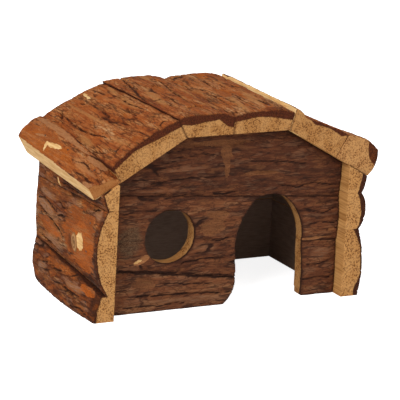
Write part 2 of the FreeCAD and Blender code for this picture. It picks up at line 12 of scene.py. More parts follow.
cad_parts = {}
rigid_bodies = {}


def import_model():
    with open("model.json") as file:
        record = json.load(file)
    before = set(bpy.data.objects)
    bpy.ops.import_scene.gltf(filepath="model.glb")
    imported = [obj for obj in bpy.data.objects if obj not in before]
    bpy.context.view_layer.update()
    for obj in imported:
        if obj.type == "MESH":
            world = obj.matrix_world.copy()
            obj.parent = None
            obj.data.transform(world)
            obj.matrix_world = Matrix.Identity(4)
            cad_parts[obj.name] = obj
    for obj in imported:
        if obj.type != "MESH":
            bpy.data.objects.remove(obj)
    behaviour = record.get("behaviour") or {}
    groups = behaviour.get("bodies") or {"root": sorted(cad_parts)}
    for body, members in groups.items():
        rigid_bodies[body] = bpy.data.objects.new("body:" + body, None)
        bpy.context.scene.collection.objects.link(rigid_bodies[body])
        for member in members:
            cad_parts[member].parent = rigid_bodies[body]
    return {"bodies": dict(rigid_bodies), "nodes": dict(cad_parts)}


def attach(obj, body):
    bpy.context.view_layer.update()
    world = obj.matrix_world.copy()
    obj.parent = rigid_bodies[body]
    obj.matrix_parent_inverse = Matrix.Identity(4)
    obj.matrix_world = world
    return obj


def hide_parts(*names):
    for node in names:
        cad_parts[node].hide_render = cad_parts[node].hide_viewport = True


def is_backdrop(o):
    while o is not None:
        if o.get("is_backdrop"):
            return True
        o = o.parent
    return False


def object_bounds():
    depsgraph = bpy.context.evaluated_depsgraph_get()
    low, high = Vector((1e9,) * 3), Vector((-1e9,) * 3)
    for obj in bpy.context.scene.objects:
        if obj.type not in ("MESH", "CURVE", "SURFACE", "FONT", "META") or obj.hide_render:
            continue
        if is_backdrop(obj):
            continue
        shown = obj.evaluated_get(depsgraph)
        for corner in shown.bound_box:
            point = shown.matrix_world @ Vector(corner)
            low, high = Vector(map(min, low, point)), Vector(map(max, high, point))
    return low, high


# The looks of a hamster house nailed from slabs of round timber with the bark left on.
# Each timber of the CAD model is replaced by a finely divided copy of its own solid. The copy's bark
# gets plates, cracks, peeled patches and worn edges in real geometry, and each point of it keeps how
# deep in the bark it lies, so that one kind of material draws bark, inner bark, sawn wood and end grain.
# Work is in millimetres in each timber's own frame: grain along it (g), across it (a), and out to its
# bark (h). A number that divides g or a is the length or the width of a feature, in millimetres.

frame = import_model()
cad_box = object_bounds()

MM = 0.001
CELL = 1.0        # size of the faces of a timber, in millimetres

# Where the timbers' inner faces lie, in millimetres. The roof's are given as (across, up).
SIDE_WALL = 103.0
FRONT_WALL = -46.0
BACK_WALL = 50.0
ROOF_BREAK = (45.5, 143.5)
SLOPE_FOOT = (123.5, 99.0)
SLOPE = math.atan2(ROOF_BREAK[1] - SLOPE_FOOT[1], SLOPE_FOOT[0] - ROOF_BREAK[0])
COS, SIN = math.cos(SLOPE), math.sin(SLOPE)

Setting = namedtuple("Setting", "origin grain across out")
SETTINGS = {
    "left_wall": Setting((-SIDE_WALL, 0, 0), (0, -1, 0), (0, 0, 1), (-1, 0, 0)),
    "right_wall": Setting((SIDE_WALL, 0, 0), (0, 1, 0), (0, 0, 1), (1, 0, 0)),
    "front_wall": Setting((0, FRONT_WALL, 0), (1, 0, 0), (0, 0, 1), (0, -1, 0)),
    "back_wall": Setting((0, BACK_WALL, 0), (-1, 0, 0), (0, 0, 1), (0, 1, 0)),
    "left_slope": Setting((-ROOF_BREAK[0], 0, ROOF_BREAK[1]), (0, -1, 0), (COS, 0, SIN), (-SIN, 0, COS)),
    "crown": Setting((0, 0, ROOF_BREAK[1]), (0, -1, 0), (1, 0, 0), (0, 0, 1)),
    "right_slope": Setting((ROOF_BREAK[0], 0, ROOF_BREAK[1]), (0, -1, 0), (COS, 0, -SIN), (SIN, 0, COS)),
}

# The kinds of patches: outer bark gone, wood laid bare, bark thinned to light brown, a plate that stands
# up, a dark place (on the left wall's top slab a band of painted shade under the eave), a knot, lichen,
# bark sawn off along an edge, and a stain on the end grain.
KINDS = ("peel", "bare", "tan", "flake", "dark", "knot", "lichen", "sawn", "stain")

# What is done to one timber.
# setting  where it lies, as a key of SETTINGS
# material its colours, as a key of PALETTES
# wood     where its wood ends and its bark begins, as (across, height out from its inner face), or one
#          number for the bark's thickness
# cracks   (width, depth, points along and across), and those without a depth are cut in the solid itself
# patches  (kind, centre, half sizes, turn in degrees)
# calm     how smooth the bark is, from 0 to 1
# wear     how deep the bark's edges are worn
# pale     how much lighter the bark is than that of the others, or darker where it is below 0; on the
#          front wall's slabs it is painted light and shade: the lower and right slabs lighter, the top
#          slab darker as painted shadow under the roof
Look = namedtuple("Look", "setting material wood cracks patches calm wear pale",
                  defaults=((), (), 0.0, 0.5, 0.0))

LOOKS = {
    "left_wall_slab_bottom": Look("left_wall", "wall", [(0, 15.3), (10, 14.8), (21, 11.2), (37, 10.6)], [
        (2.2, 0, [(-8, 13), (10, 14.5), (28, 13), (42, 13.5)]),
        (1.2, 1.6, [(-30, 22), (-18, 25), (-6, 22), (4, 23)]),
        (1.0, 1.4, [(30, 4), (45, 5), (58, 3)]),
    ], [
        ("flake", (30, 18), (14, 2.2), -4),
        ("flake", (-28, 19), (8, 3), 8),
        ("peel", (48, 20), (12, 3), -3),
        ("peel", (-12, 26), (12, 2.4), -6),
        ("dark", (66, 12), (7, 14), 0),
    ], pale=-0.08),
    "left_wall_slab_middle": Look("left_wall", "wall", 1.2, [
        (3.0, 0, [(-25, 61.5), (-17, 60.5), (-8, 58), (0, 55.5), (7, 52)]),
        (2.0, 0, [(-44, 72), (-34, 74), (-25, 73), (-14, 70), (-6, 69)]),
        (3.0, 0, [(-5, 67), (2, 69), (9, 69.5)]),
        (1.2, 1.6, [(-42, 66), (-34, 63.5), (-27, 62.5)]),
        (1.4, 1.4, [(-40, 41), (-25, 40), (-10, 37), (0, 36)]),
        (1.2, 1.4, [(-6, 78), (2, 75), (10, 76)]),
        (1.3, 1.8, [(50, 84), (54, 87), (60, 88)]),
    ], [
        ("peel", (37, 58), (29, 25), 0),
        ("peel", (-22, 54), (20, 6), -8),
        ("flake", (-26, 68), (20, 4), -9),
        ("flake", (-28, 79), (15, 2.6), -3),
        ("flake", (-14, 42), (16, 4), -6),
        ("flake", (60, 85), (7, 3.6), -20),
        ("knot", (28.5, 54.5), (5.2, 8.0), 0),
        ("bare", (37.5, 57.5), (5.6, 7), 20),
        ("dark", (54, 29), (14, 5), -8),
        ("dark", (19, 50), (4, 11), 6),
        ("dark", (68, 55), (4.5, 30), 0),
    ], calm=0.25, wear=0.4),
    "left_wall_slab_top": Look("left_wall", "wall", 1.5, [
        (1.6, 1.8, [(-6, 93), (4, 94), (12, 92.5), (24, 93)]),
    ], [
        ("bare", (-11.5, 93), (1.3, 4), 12),
        # painted shade: a dark band along the slab's top, under the roof's eave
        ("dark", (20, 95), (40, 3), 0),
    ]),
    "right_wall_slab_bottom": Look("right_wall", "wall", [
        (0, 11.8), (4, 11.2), (9, 12.8), (13, 15.6), (19, 17), (34, 16.4), (43, 14.8), (49, 11.9),
        (56, 8.6),
    ], [
        (2.0, 0, [(-44, 27), (-20, 30), (8, 27), (36, 29)]),
        (1.2, 1.4, [(-60, 12), (-30, 14), (0, 12), (30, 13)]),
        (1.4, 1.4, [(-20, 41), (10, 39), (40, 42)]),
    ], [
        ("peel", (-30, 32), (22, 4), 3),
        ("flake", (20, 30), (18, 3), -3),
    ]),
    "right_wall_slab_middle": Look("right_wall", "wall", [
        (50, 8), (54, 9.2), (60, 12.9), (70, 13.8), (81, 12), (87, 9.2),
    ], [
        (2.0, 0, [(-46, 69), (-18, 72), (12, 68), (40, 70)]),
    ], [
        ("peel", (10, 76), (24, 4), 2),
        ("flake", (-35, 74), (14, 3), -4),
    ]),
    "right_wall_slab_top": Look("right_wall", "wall", [(84, 8.4), (90, 10.2), (100, 12.6), (112, 13)], [
        (1.2, 1.6, [(-50, 96), (-10, 98), (30, 95)]),
    ]),
    "front_slab_bottom_left": Look("front_wall", "front", 2.4, [
        (1.2, 1.6, [(-78, 15), (-60, 14), (-30, 12.5), (-10, 12), (6, 10)]),
        (0.8, 1.0, [(-90, 6), (-60, 5), (-35, 6)]),
        (0.8, 1.0, [(-60, 23), (-35, 21), (-10, 19)]),
        (2.4, 1.2, [(-102, 36.2), (-75, 32.4), (-60, 30.9), (-35, 27.4), (-12, 24.6), (9, 21.4)]),
    ], [
        ("flake", (-30, 8), (32, 2), -2),
        ("peel", (-72, 24), (10, 5), -8),
    # painted light: pale=0.2 makes this low slab lighter than the rest of the front wall
    ], pale=0.2),
    "front_slab_bottom_right": Look("front_wall", "front", 2.4, [
        (1.0, 1.4, [(72, 14), (85, 16), (98, 14)]),
        (0.8, 1.2, [(72, 27), (84, 26), (98, 29)]),
    ], [
        ("flake", (88, 36), (9, 3), 0),
    # painted light: pale=0.08 makes this slab lighter
    ], pale=0.08),
    "front_slab_middle_left": Look("front_wall", "front", 2.4, [
        (1.2, 1.4, [(-40, 38), (-20, 41), (0, 40)]),
        (0.9, 1.2, [(-22, 57), (-8, 55), (6, 57)]),
        (0.9, 1.2, [(-25, 69), (-10, 71), (6, 69)]),
        (0.8, 1.0, [(-100, 82), (-80, 84), (-64, 83)]),
        (1.8, 0.9, [(-96, 37.4), (-70, 33.6), (-50, 31.2), (-25, 27.4), (4, 24)]),
    ], [
        ("peel", (-14, 66), (12, 7), 4),
        ("flake", (-20, 50), (10, 3.4), -4),
        ("peel", (-8, 76), (10, 3), 0),
        ("lichen", (-87, 60), (10, 13), 0),
        ("tan", (-75, 43.5), (8, 2.6), 24),
        ("bare", (-77.5, 42.6), (3.6, 1.2), 24),
    ]),
    "front_slab_middle_right": Look("front_wall", "front", 2.4, [
        (0.8, 1.0, [(76, 72), (88, 70), (100, 73)]),
        (0.8, 1.0, [(74, 61), (86, 62), (100, 60)]),
    ], [
        ("tan", (84, 48.4), (15, 1.0), 1),
        ("tan", (97, 55), (3.2, 1.5), 0),
    # painted light: pale=0.04 makes this slab lighter
    ], pale=0.04),
    "front_slab_top": Look("front_wall", "front", 2.4, [
        (1.0, 1.2, [(-70, 105), (-40, 108), (-12, 107)]),
        (0.9, 1.2, [(10, 118), (40, 116), (70, 112)]),
        (0.9, 1.2, [(-50, 125), (-25, 127), (-8, 124)]),
        (1.0, 1.4, [(45, 96), (62, 93), (80, 95), (96, 92)]),
        (1.2, 1.4, [(-14, 93), (-4, 92), (6, 94)]),
    ], [
        ("peel", (-8, 134.5), (27, 2.4), -1),
        ("peel", (-4.5, 126), (4.8, 8), 0),
        ("peel", (-3.5, 115), (2.4, 9), 3),
        ("peel", (29, 107.5), (16, 1.8), -2),
        ("flake", (-42, 115.5), (20, 1.4), 1),
        ("flake", (-60, 99), (20, 1.2), -2),
    # painted shadow: pale=-0.16 darkens the whole top slab as the roof's shadow on it
    ], pale=-0.16),
    "back_slab_bottom": Look("back_wall", "wall", 2.6, [
        (2.2, 0, [(-84, 22), (-40, 24), (6, 20), (50, 23), (92, 20)]),
        (1.2, 1.4, [(-60, 36), (-20, 38), (30, 35)]),
    ], [
        ("peel", (40, 26), (26, 5), 2),
        ("flake", (-40, 22), (24, 3), -2),
    ]),
    "back_slab_middle": Look("back_wall", "wall", 2.6, [
        (2.4, 0, [(-24, 69), (4, 67), (44, 71), (84, 68)]),
        (2.0, 0, [(-88, 81), (-52, 79), (-18, 82)]),
    ], [
        ("peel", (-30, 79), (30, 6), 3),
        ("flake", (60, 66), (26, 4), -3),
        ("knot", (34, 72), (6, 6.5), 0),
    ]),
    "back_slab_top": Look("back_wall", "wall", 2.6, [
        (2.2, 0, [(-38, 112), (12, 115), (52, 113)]),
        (1.2, 1.4, [(-30, 130), (10, 127), (40, 129)]),
    ], [
        ("peel", (10, 120), (24, 4), -2),
        ("flake", (-40, 103), (24, 3), 2),
    ]),
    "roof_plank_left_eave": Look("left_slope", "eave", 0.5, [
        (2.6, 0, [(65, -83.5), (58, -84.5), (50, -83.5), (40, -84.5)]),
        (1.6, 1.8, [(24, -80), (14, -78), (4, -76)]),
        (1.4, 1.4, [(46, -76), (36, -75), (28, -77)]),
    ], [
        ("peel", (-30, -78), (52, 9), -2),
        ("tan", (-18, -65), (50, 2.8), -2),
        ("tan", (44, -68), (12, 3), 4),
        ("tan", (-36, -75.5), (9, 1.0), 8),
        ("bare", (-8, -77.2), (11, 2.0), 7),
        ("bare", (-20, -80.5), (1.7, 3.8), 12),
        ("stain", (70, -80), (5, 16), 0),
        ("flake", (40, -78), (14, 3), -4),
        ("tan", (66, -88), (10, 2.4), 0),
        ("sawn", (0, -88), (130, 14), 0),
    ], calm=0.8, wear=0.05),
    "roof_plank_left_slope": Look("left_slope", "roof", [
        (-66, 11.5), (-56, 13.4), (-44, 15.5), (-34, 15), (-23, 13.1), (-14, 12.3), (0, 10.7), (6, 10.4),
    ], [
        (1.8, 0, [(-60, -24), (-42, -26), (-20, -26), (0, -28.5), (30, -26.5), (60, -28)]),
        (2.4, 0, [(-48, -48), (-30, -50), (-10, -51), (10, -49), (26, -46)]),
        (2.4, 2.4, [(-54, -48), (-46, -51)]),
        (2.0, 2.2, [(-38, -58), (-25, -60.5), (-5, -62)]),
        (1.8, 2.0, [(28, -61), (38, -59), (46, -57)]),
        (1.6, 1.8, [(17, -45), (20, -41), (21, -36)]),
        (1.8, 2.0, [(50, -46), (53, -51), (56, -55)]),
        (1.6, 1.6, [(-53, -30), (-46, -27.5)]),
        (1.0, 1.2, [(2, -13), (14, -16), (24, -15)]),
        (1.8, 0, [(-36, -9), (-22, -7), (-2, -9), (20, -7)]),
    ], [
        ("flake", (-26, -36.5), (34, 1.6), 1.5),
        ("bare", (-56, -21), (9, 1.5), -6),
        ("flake", (-42, -4), (14, 2), -8),
        ("flake", (-14, -7.5), (13, 2.6), 0),
        ("flake", (0, -9), (14, 2.6), 4),
        ("peel", (14, -19), (8, 3), 0),
        ("flake", (46, -43.5), (12, 1.6), 4),
        ("flake", (8, -57), (12, 2.4), -4),
        ("peel", (58, -34), (6, 4), 0),
    ]),
    "roof_plank_crown_left": Look("crown", "roof", [
        (-58, 9.6), (-50, 10.4), (-42, 9.8), (-34, 11), (-21, 12.2), (-18.5, 12.9), (-15, 10.7),
        (-11, 7.4), (-5, 5.7), (3, 5.7),
    ], [
        (2.0, 0, [(-66, -38.5), (-52, -40.5), (-38, -42), (-24, -43)]),
        (2.0, 0, [(-34, -14), (-15, -19), (5, -21), (22, -23), (40, -22), (58, -22)]),
        (3.6, 1.8, [(40, -20), (41, -27), (43, -35)]),
        (3.0, 1.2, [(-72, -37.5), (-51, -40.5), (-30, -45), (-6, -50), (10, -53)]),
        (1.0, 1.2, [(-60, -14), (-45, -12), (-30, -15)]),
        (1.8, 0, [(-6, -33), (10, -32), (26, -35), (38, -33)]),
    ], [
        ("flake", (-8, -9.5), (20, 1.4), -3),
        ("flake", (4, -42), (26, 3.6), -11),
        ("peel", (-20, -27), (14, 4), -16),
        ("flake", (-60, -20), (7, 4), 0),
        ("flake", (44, -11), (10, 1.6), -3),
    ]),
    "roof_plank_crown_right": Look("crown", "roof", [
        (-4, 9.6), (2.5, 10.6), (10, 11.8), (17, 12.5), (25, 12.1), (32, 11.2), (40, 9.5), (49, 8),
        (58, 2),
    ], [
        (2.0, 0, [(-66, 25.5), (-48, 25), (-36, 24), (-20, 21), (-4, 22)]),
        (2.0, 0, [(14, 25), (30, 22), (44, 23), (60, 22)]),
        (1.6, 1.8, [(-50, 51), (-42, 46), (-34, 44)]),
        (1.0, 1.2, [(-30, 33), (-16, 30), (-10, 33)]),
        (1.8, 0, [(-48, 9), (-26, 7), (-4, 9), (24, 7), (42, 4)]),
    ], [
        ("peel", (4, 20), (14, 6), -14),
        ("peel", (-56, 32), (9, 4), -8),
        ("flake", (26, 33), (20, 4), -8),
        ("flake", (40, 13), (22, 3), -10),
        ("dark", (66, 32), (8, 9), -16),
        ("bare", (-8, 53), (66, 5.6), -3.3),
    ], pale=0.12),
    "roof_plank_right_slope": Look("right_slope", "roof", [
        (-10, 22), (9, 19.5), (12, 16), (15, 15.7), (19, 14.4), (26, 16.4), (32, 17.9), (36, 17.8),
        (41, 17.4), (47, 17), (50, 19), (54, 22),
    ], [
        (2.0, 0, [(-60, 25), (-30, 27), (0, 24), (30, 28), (60, 26)]),
        (1.4, 1.4, [(-40, 37), (0, 35), (40, 37)]),
    ], [
        ("sawn", (0, 0), (130, 14), 0),
        ("bare", (-24, 0.2), (56, 3.4), 0),
        ("bare", (40, 0), (40, 1.6), 0),
        ("flake", (-20, 34), (26, 3), 2),
        ("peel", (30, 16), (22, 4), 2),
    ]),
    "roof_plank_right_eave": Look("right_slope", "eave", [
        (50, 28), (72, 26.5), (75, 20), (80, 13.6), (86, 11), (93, 9),
    ], [
        (2.0, 0, [(-56, 80), (-20, 81.5), (16, 79.5), (50, 81)]),
    ], [
        ("tan", (62, 60), (16, 7), 4),
        ("peel", (14, 60), (32, 7), 3),
        ("tan", (-44, 64), (24, 4), -3),
        ("flake", (0, 78), (30, 3), 0),
    ], calm=0.2, wear=0.3),
}


# ------------------------------------------------------------------------------------------ noise
def lattice(i, j, seed):
    """A repeatable number from 0 to 1 for each point of a grid, from a hash of its whole numbers."""
    i = (i.astype(np.int64) & 0xFFFFFFFF).astype(np.uint32)
    j = (j.astype(np.int64) & 0xFFFFFFFF).astype(np.uint32)
    mixed = i * np.uint32(374761393) + j * np.uint32(668265263) + np.uint32(seed * 362437 + 12345)
    mixed = (mixed ^ (mixed >> np.uint32(13))) * np.uint32(1274126177)
    mixed = (mixed ^ (mixed >> np.uint32(15))) * np.uint32(2246822519)
    return (mixed ^ (mixed >> np.uint32(16))) / 4294967295.0


def smooth(values, low, high):
    """0 below low, 1 above high and an even bend between. low may be the larger one."""
    share = np.clip((values - low) / (high - low), 0, 1)
    return share * share * (3 - 2 * share)


def noise(x, y, seed):
    """Smooth noise from -1 to 1, with features about one unit across."""
    i, j = np.floor(x), np.floor(y)
    u, v = smooth(x - i, 0, 1), smooth(y - j, 0, 1)
    low = lattice(i, j, seed) * (1 - u) + lattice(i + 1, j, seed) * u
    high = lattice(i, j + 1, seed) * (1 - u) + lattice(i + 1, j + 1, seed) * u
    return (low * (1 - v) + high * v) * 2 - 1


def layers(x, y, seed, count=3):
    """Noise with finer noise laid over it."""
    total = sum(noise(x * 2 ** k, y * 2 ** k, seed + 7 * k) / 2 ** k for k in range(count))
    return total / (2 - 0.5 ** (count - 1))


def cells(x, y, seed):
    """How far each point is from the border of its cell, and a random number for the cell."""
    column, row = np.floor(x), np.floor(y)
    best, second = np.full(x.shape, 9.0), np.full(x.shape, 9.0)
    owner = np.zeros(x.shape)
    for step_x in (-1, 0, 1):
        for step_y in (-1, 0, 1):
            i, j = column + step_x, row + step_y
            away = np.hypot(i + lattice(i, j, seed) - x, j + lattice(i, j, seed + 1) - y)
            nearer = away < best
            second = np.where(nearer, best, np.minimum(second, away))
            owner = np.where(nearer, lattice(i, j, seed + 2), owner)
            best = np.where(nearer, away, best)
    return second - best, owner


def to_line(along, across, points):
    """Distance of each point to a line through the given points, and its share of the line's length."""
    nearest, share = np.full(along.shape, 1e9), np.zeros(along.shape)
    for number, (start, end) in enumerate(zip(points, points[1:])):
        step = np.subtract(end, start)
        t = np.clip(((along - start[0]) * step[0] + (across - start[1]) * step[1]) / (step @ step), 0, 1)
        away = np.hypot(along - start[0] - t * step[0], across - start[1] - t * step[1])
        share = np.where(away < nearest, (number + t) / (len(points) - 1), share)
        nearest = np.minimum(nearest, away)
    return nearest, share


# ------------------------------------------------------------------------------- the timbers' mesh
RAY_STEP = 2.0       # distance of the rays that read the bark's height, in millimetres
RAY_START = 60.0     # above every timber's bark


def to_own_frame(setting):
    """The matrix from the row frame in metres to a timber's own frame in millimetres."""
    turn = Matrix((setting.grain, setting.across, setting.out)).to_4x4()
    return turn @ Matrix.Translation(-Vector(setting.origin)) @ Matrix.Scale(1 / MM, 4)


def turned(points, matrix):
    """Points put through a 4 by 4 matrix."""
    return points @ matrix[:3, :3].T + matrix[:3, 3]


def solid_of(name, setting):
    """A copy of the CAD node's mesh in its own frame, with its corners joined, and its search tree."""
    mesh = frame["nodes"][name].data.copy()
    mesh.transform(to_own_frame(setting))
    mesh.materials.clear()
    grid = bmesh.new()
    grid.from_mesh(mesh)
    bmesh.ops.remove_doubles(grid, verts=grid.verts, dist=1e-3)
    grid.to_mesh(mesh)
    tree = BVHTree.FromBMesh(grid)
    grid.free()
    return mesh, tree


def finely_divided(mesh):
    """The same solid with even small faces."""
    carrier = bpy.data.objects.new("carrier", mesh)
    bpy.context.scene.collection.objects.link(carrier)
    remesh = carrier.modifiers.new("even", "REMESH")
    remesh.mode = "VOXEL"
    remesh.voxel_size = CELL
    bpy.context.view_layer.update()
    fine = bpy.data.meshes.new_from_object(carrier.evaluated_get(bpy.context.evaluated_depsgraph_get()))
    bpy.data.objects.remove(carrier)
    return fine


def read_points(mesh):
    points = np.empty(len(mesh.vertices) * 3, np.float32)
    mesh.vertices.foreach_get("co", points)
    return points.reshape(-1, 3).astype(float)


def on_solid(tree, points):
    """Each point moved onto the solid's surface, and the surface's normal there."""
    found = [tree.find_nearest(point) for point in points]
    return np.array([hit[0] for hit in found]), np.array([hit[1] for hit in found])


def filled_up(heights):
    """The grid with its empty places filled from the known ones beside them."""
    while np.isnan(heights).any():
        wide = np.pad(heights, 1, constant_values=np.nan)
        around = np.stack([wide[1 + x:wide.shape[0] - 1 + x, 1 + y:wide.shape[1] - 1 + y]
                           for x in (-1, 0, 1) for y in (-1, 0, 1)])
        known = ~np.isnan(around)
        count = known.sum(0)
        mean = np.where(known, around, 0).sum(0) / np.maximum(count, 1)
        heights = np.where(np.isnan(heights) & (count > 0), mean, heights)
    return heights


def bark_height(tree, points):
    """Height of the solid's bark over each point as if it had no fissures, read from a grid of rays."""
    low, high = points.min(0), points.max(0)
    along = np.arange(low[0] + 0.3, high[0], RAY_STEP)
    across = np.arange(low[1] + 0.3, high[1], RAY_STEP)
    heights = np.full((len(along), len(across)), np.nan)
    for i, g in enumerate(along):
        for j, a in enumerate(across):
            hit, normal = tree.ray_cast((g, a, RAY_START), (0, 0, -1))[:2]
            if hit is not None and normal[2] > 0.75:
                heights[i, j] = hit[2]
    heights = filled_up(heights)
    u = np.clip((points[:, 0] - along[0]) / RAY_STEP, 0, len(along) - 1.001)
    v = np.clip((points[:, 1] - across[0]) / RAY_STEP, 0, len(across) - 1.001)
    i, j = u.astype(int), v.astype(int)
    u, v = u - i, v - j
    return ((heights[i, j] * (1 - u) + heights[i + 1, j] * u) * (1 - v)
            + (heights[i, j + 1] * (1 - u) + heights[i + 1, j + 1] * u) * v)


# ---------------------------------------------------------------------------------- the bark's forms
# How deep each form of unpeeled bark lies, in millimetres, and how much lighter it makes the bark.
FORM_DEPTHS = {"crack": 1.0, "step": 0.4, "plate": 0.4, "flake": 0.22, "rough": -0.22, "swell": -0.28}
FORM_TONES = {"plate": 0.22, "flake": 0.13, "rough": 0.12, "swell": 0.12}
MEAN_DEPTH = 0.6           # taken off again, so that the bark stays near the solid's surface
BASE_TONE = 0.40
PEEL_DEPTH = 1.1           # how deep peeled and tan patches lie, in millimetres
CHIP_DEPTH = 0.3           # how deep a bare chip lies
FLAKE_RISE = 0.5           # how far a flake stands up
SOFT_KINDS = ("peel", "dark", "flake", "lichen")     # patches whose edges fade out


def patch_share(g, a, patch, seed):
    """1 inside a patch with a ragged edge, and 0 outside."""
    kind, centre, half, turn = patch
    x, y = g - centre[0], a - centre[1]
    cos, sin = math.cos(math.radians(turn)), math.sin(math.radians(turn))
    u, v = (x * cos + y * sin) / half[0], (y * cos - x * sin) / half[1]
    ragged = 0.28 * layers(g / 9, a / 3, seed) + 0.14 * layers(g / 2.5, a / 1.2, seed + 1)
    outside, inside = (1.3, 0.7) if kind in SOFT_KINDS else (1.08, 0.92)
    return smooth(np.hypot(u, v) + ragged, outside, inside)


def patches_of(g, a, seed, look):
    """How much of each kind of patch lies on each point."""
    kinds = {kind: np.zeros(g.shape) for kind in KINDS}
    for number, patch in enumerate(look.patches):
        share = patch_share(g, a, patch, seed + 61 + number)
        kinds[patch[0]] = np.maximum(kinds[patch[0]], share)
    return kinds


def rough_bark(g, a, seed, look):
    """Depth, darkness and tone of bark that nothing has peeled, and its roughness."""
    warped_g = g + 7 * layers(g / 24, a / 9, seed)
    warped_a = a + 2.6 * layers(g / 26, a / 9, seed + 1) + 0.7 * noise(g / 6, a / 3, seed + 2)
    plate_gap, plate = cells(warped_g / 36, warped_a / 7.0, seed + 3)
    open_here = smooth(layers(g / 26, a / 10, seed + 21), -0.15, 0.45)
    crack = smooth(np.abs(layers(warped_g / 44, warped_a / 7.5, seed + 27, 2)), 0.09, 0.015)
    forms = {
        "crack": crack * open_here,
        "step": smooth(plate_gap, 0.10, 0.02) * smooth(layers(g / 20, a / 8, seed + 31), -0.2, 0.5),
        "plate": plate,
        "flake": cells(warped_g / 12, warped_a / 3.0, seed + 11)[1],
        "rough": layers(g / 8, a / 1.6, seed + 41),
        "swell": layers(g / 40, a / 10, seed + 51),
    }
    depth = sum(deep * forms[form] for form, deep in FORM_DEPTHS.items()) - MEAN_DEPTH
    tone = sum((light * forms[form] for form, light in FORM_TONES.items()), BASE_TONE + look.pale)
    dark = np.maximum(0.8 * forms["crack"], 0.45 * forms["step"])
    return depth * (1 - look.calm), dark, tone, forms["rough"]


def with_cracks(depth, dark, g, a, seed, look):
    """Depth and darkness with the look's own cracks, and where the solid has its fissures."""
    fissure = np.zeros(g.shape)
    for number, (width, deep, points) in enumerate(look.cracks):
        wander = 0.8 * noise(g / 7, a / 5, seed + 91 + number) * (deep > 0)
        away, share = to_line(g, a + wander, points)
        half = width / 2 * (0.35 + 0.65 * np.sin(np.clip(share, 0.02, 0.98) * math.pi))
        line = smooth(away, half + 0.7, half * 0.5)
        broken = smooth(noise(g / 5, a / 3, seed + 95 + number), -1.2, 0.1)
        depth = depth + deep * line
        dark = np.maximum(dark, smooth(away, half * 0.9 + 0.4, half * 0.3) * broken)
        fissure = np.maximum(fissure, line * (deep == 0))
    return depth, dark, fissure


def bark_of(g, a, seed, look):
    """Depth of the bark below the solid's surface, its darkness and tone, the solid's fissures and
    the patches."""
    kinds = patches_of(g, a, seed, look)
    depth, dark, tone, rough = rough_bark(g, a, seed, look)
    depth, dark, fissure = with_cracks(depth, dark, g, a, seed, look)
    stripped = np.maximum(kinds["peel"], np.maximum(kinds["bare"], kinds["tan"]))
    lowered = PEEL_DEPTH * np.maximum(kinds["peel"], kinds["tan"]) + CHIP_DEPTH * kinds["bare"]
    depth = depth * (1 - 0.8 * stripped) + lowered * (1 - look.calm) + 0.25 * rough * stripped
    depth -= FLAKE_RISE * kinds["flake"]
    tone += 0.12 * kinds["flake"] - 0.30 * kinds["dark"]
    dark = np.maximum(dark * (1 - 0.9 * stripped), 0.35 * kinds["dark"])
    return depth, dark, tone, fissure, kinds


def knot_of(g, a, look):
    """Distance to the knot's middle in knot radii, or a large number where there is none."""
    nearest = np.full(g.shape, 9.0)
    for kind, centre, half, _ in look.patches:
        if kind == "knot":
            nearest = np.minimum(nearest, np.hypot((g - centre[0]) / half[0], (a - centre[1]) / half[1]))
    return nearest


def round_knot(depth, knot):
    """The bark's depth with the knot: its wood stands up 0.6 mm and has a pit of 0.9 mm."""
    wood = depth * smooth(knot, 0.9, 1.35) - 0.6 * smooth(knot, 1.1, 0.7) + 0.9 * smooth(knot, 0.45, 0.1)
    return np.where(knot < 1.35, wood, depth)


# ------------------------------------------------------------------------------------ the timbers
FIRST_SEED, SEEDS_OF_ONE = 1000, 150     # each timber has 150 seeds of its own
RELIEF_REACH = 7.0         # how far below the bark side its relief fades out
WEAR_REACH = 3.2           # how far in from an edge the bark is worn
HEAD_REACH = (1.4, 3.2)    # the relief begins and is whole at these distances from a brad's head
LEAST_BARK = 1.2           # thickness of the bark at least, where it faces out
PEELED_BARK = 0.5          # thickness that peeled bark keeps
ROLLED_BARK = 6.0          # how far the bark wraps down over a timber's long edges
NO_WOOD = 30.0             # lowers the wood's line until all above it is bark
PITH = (6.0, -26.0)        # the log's middle, beside a timber's middle and below its inner face
OWN_STEP = np.array([37.0, 19.0, 11.0])  # keeps the materials' patterns of two timbers apart


class Surface:
    """The points of a timber in its own frame. top is the bark's height over each point, and below is how
    far the point lies under it. on_top is 1 where the timber faces out, and on_end at its ends."""

    def __init__(self, tree, points, normals):
        self.tree, self.points, self.normals = tree, points, normals
        self.g, self.a, self.h = points.T
        self.top = bark_height(tree, points)
        self.below = np.clip(self.top - self.h, 0, None)
        self.on_top = smooth(normals[:, 2], 0.25, 0.6)
        self.on_end = smooth(np.abs(normals[:, 0]), 0.5, 0.8)

    def to_edge(self):
        """Distance of each point to the nearest edge of the bark side."""
        rim = self.points[(np.abs(self.normals[:, 2]) < 0.3) & (self.below < 2.0)]
        tree = KDTree(len(rim))
        for number, point in enumerate(rim):
            tree.insert(point, number)
        tree.balance()
        return np.array([tree.find(point)[2] for point in self.points])

    def side_reach(self):
        """How near each point of an end face is to the timber's side faces."""
        reach = np.full(len(self.points), 99.0)
        for number in np.flatnonzero(self.on_end > 0.5):
            g, a, h = self.points[number]
            for way in (-1, 1):
                away = self.tree.ray_cast((g * 0.97, a, h), (0, way, 0))[3]
                if away is not None:
                    reach[number] = min(reach[number], away)
        return reach

    def nearest_head(self, own):
        """Distance of each point to the nearest brad's head. own is the matrix to the timber's frame."""
        nearest = np.full(len(self.points), 99.0)
        for head in turned(HEADS, own):
            nearest = np.minimum(nearest, np.linalg.norm(self.points - head, axis=1))
        return nearest


def wood_line(look, a, top):
    """Height at which the wood ends and the bark begins, as the look gives it."""
    if isinstance(look.wood, (int, float)):
        return top - look.wood
    across, height = np.array(look.wood).T
    return np.interp(a, across, height)


